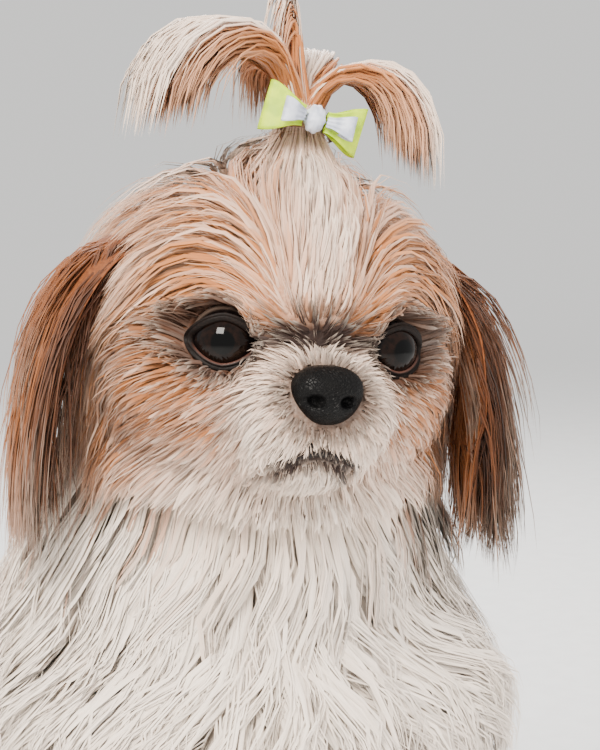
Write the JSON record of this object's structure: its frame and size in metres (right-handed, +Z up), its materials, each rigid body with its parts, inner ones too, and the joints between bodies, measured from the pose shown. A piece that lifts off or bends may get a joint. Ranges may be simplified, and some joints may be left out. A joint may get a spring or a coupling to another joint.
{
  "type": "sitting shih tzu dog, life-size still model",
  "caption": "Still, life-size long-coated toy dog sitting upright, with hanging ears, a short muzzle and a topknot tied with a ribbon bow.",
  "frame": {"origin": "centre of the bounding box's bottom face, on the floor under the sitting dog", "axes": "+Z up, the dog faces -Y, its left side is +X"},
  "size_m": [0.2009, 0.3315, 0.4301],
  "materials": {
    "eye": "wet, very glossy dark brown eye",
    "nose_leather": "moist black pebbled nose skin",
    "silver_ribbon": "silver white satin ribbon",
    "yellow_ribbon": "lime yellow satin ribbon",
    "hair_tie": "soft covered elastic band",
    "topknot_hair": "tan hair with pale rims, soft sheen",
    "ear_hair": "long red-brown hair, soft sheen",
    "face_hair": "tan hair with a cream blaze and muzzle",
    "body_hair": "long cream white hair with tan patches"
  },
  "bodies": {
    "root": {"eye_left": "eye", "eye_right": "eye", "nose": "nose_leather", "bow_knot": "silver_ribbon", "bow_inner_left": "silver_ribbon", "bow_inner_right": "silver_ribbon", "bow_outer_left": "yellow_ribbon", "bow_outer_right": "yellow_ribbon", "hair_band": "hair_tie", "topknot": "topknot_hair", "ear_left": "ear_hair", "ear_right": "ear_hair", "head": "face_hair", "neck": "body_hair", "tail": "body_hair", "torso": "body_hair", "front_leg_left": "body_hair", "front_leg_right": "body_hair", "hind_leg_left": "body_hair", "hind_leg_right": "body_hair"}
  },
  "joints": []
}
